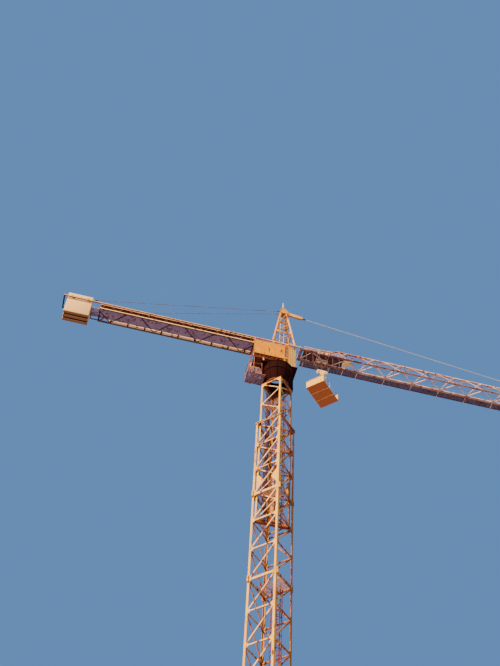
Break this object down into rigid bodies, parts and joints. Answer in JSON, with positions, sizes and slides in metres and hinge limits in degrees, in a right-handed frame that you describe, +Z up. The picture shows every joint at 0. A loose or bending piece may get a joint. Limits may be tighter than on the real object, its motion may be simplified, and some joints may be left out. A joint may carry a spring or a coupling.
{
  "type": "tower crane",
  "caption": "Tower crane with a telescopic lattice mast, trolley jib, counter-jib with concrete slabs, hook block and a hung load bin.",
  "frame": {"origin": "centre of the base plate's underside, on the mast axis", "axes": "+X along the jib, +Z up the mast, +Y to the catwalk side of the jib"},
  "size_m": [38.72, 2.9, 36.8443],
  "materials": {
    "galvanised_dark": "dull",
    "mast_paint": "weathered satin",
    "lacing_paint": "weathered satin",
    "red_oxide": "dull oxide paint",
    "panel_yellow": "satin",
    "jib_paint": "weathered satin",
    "grating": "dull",
    "concrete": "cast concrete",
    "rope_steel": "greased wire",
    "cream_paint": "satin",
    "white_paint": "satin",
    "machine_grey": "satin",
    "dark_steel": "oiled"
  },
  "bodies": {
    "tower": {"base_plate": "galvanised_dark", "base_cross": "lacing_paint", "base_shoes": "lacing_paint", "mast_posts_1": "mast_paint", "mast_posts_2": "mast_paint", "mast_posts_3": "mast_paint", "mast_posts_4": "mast_paint", "mast_lacing_1": "lacing_paint", "mast_lacing_2": "lacing_paint", "mast_lacing_3": "lacing_paint", "mast_lacing_4": "lacing_paint", "mast_ladder": "galvanised_dark", "mast_guides": "red_oxide"},
    "inner_mast": {"inner_posts": "mast_paint", "inner_lacing": "lacing_paint", "inner_foot_beam": "red_oxide", "inner_ladder": "galvanised_dark", "mast_head": "red_oxide"},
    "slewing_part": {"slew_pedestal": "red_oxide", "slew_deck": "red_oxide", "slew_frame": "lacing_paint", "service_platform": "red_oxide", "sign_panel": "panel_yellow", "operator_cab": "panel_yellow", "cathead": "lacing_paint", "cathead_head": "panel_yellow", "cathead_rod": "white_paint", "jib_root": "red_oxide", "jib_section_1": "jib_paint", "jib_section_2": "jib_paint", "jib_section_3": "jib_paint", "jib_tip": "jib_paint", "catwalk": "grating", "winch_deck": "red_oxide", "hoist_winch": "machine_grey", "trolley_winch": "panel_yellow", "jib_tie": "lacing_paint", "counter_girder_near": "jib_paint", "counter_girder_far": "mast_paint", "counter_bracing": "grating", "counter_floor": "grating", "counter_ties": "rope_steel", "counterweights": "concrete", "weight_bars": "red_oxide"},
    "trolley": {"trolley_frame": "red_oxide", "trolley_wheels": "dark_steel", "trolley_sheaves": "cream_paint", "rope_falls": "rope_steel"},
    "hook_block": {"hook_block": "cream_paint", "block_sheaves": "cream_paint", "hook": "dark_steel", "slings": "rope_steel", "load_bin": "cream_paint", "bin_guard": "white_paint"}
  },
  "joints": [
    {"name": "mast_climb", "type": "slide", "parent": "tower", "child": "inner_mast", "axis": [0, 0, 1], "range_m": [-3.3, 4]},
    {"name": "slewing", "type": "hinge", "parent": "inner_mast", "child": "slewing_part", "pos_m": [0, 0, 27.65], "axis": [0, 0, 1], "continuous": true},
    {"name": "trolley_travel", "type": "slide", "parent": "slewing_part", "child": "trolley", "axis": [1, 0, 0], "range_m": [-0.3, 20.5]},
    {"name": "hoist", "type": "slide", "parent": "trolley", "child": "hook_block", "axis": [0, 0, 1], "range_m": [-23.5, 0.4], "deforming": ["rope_falls"]}
  ]
}
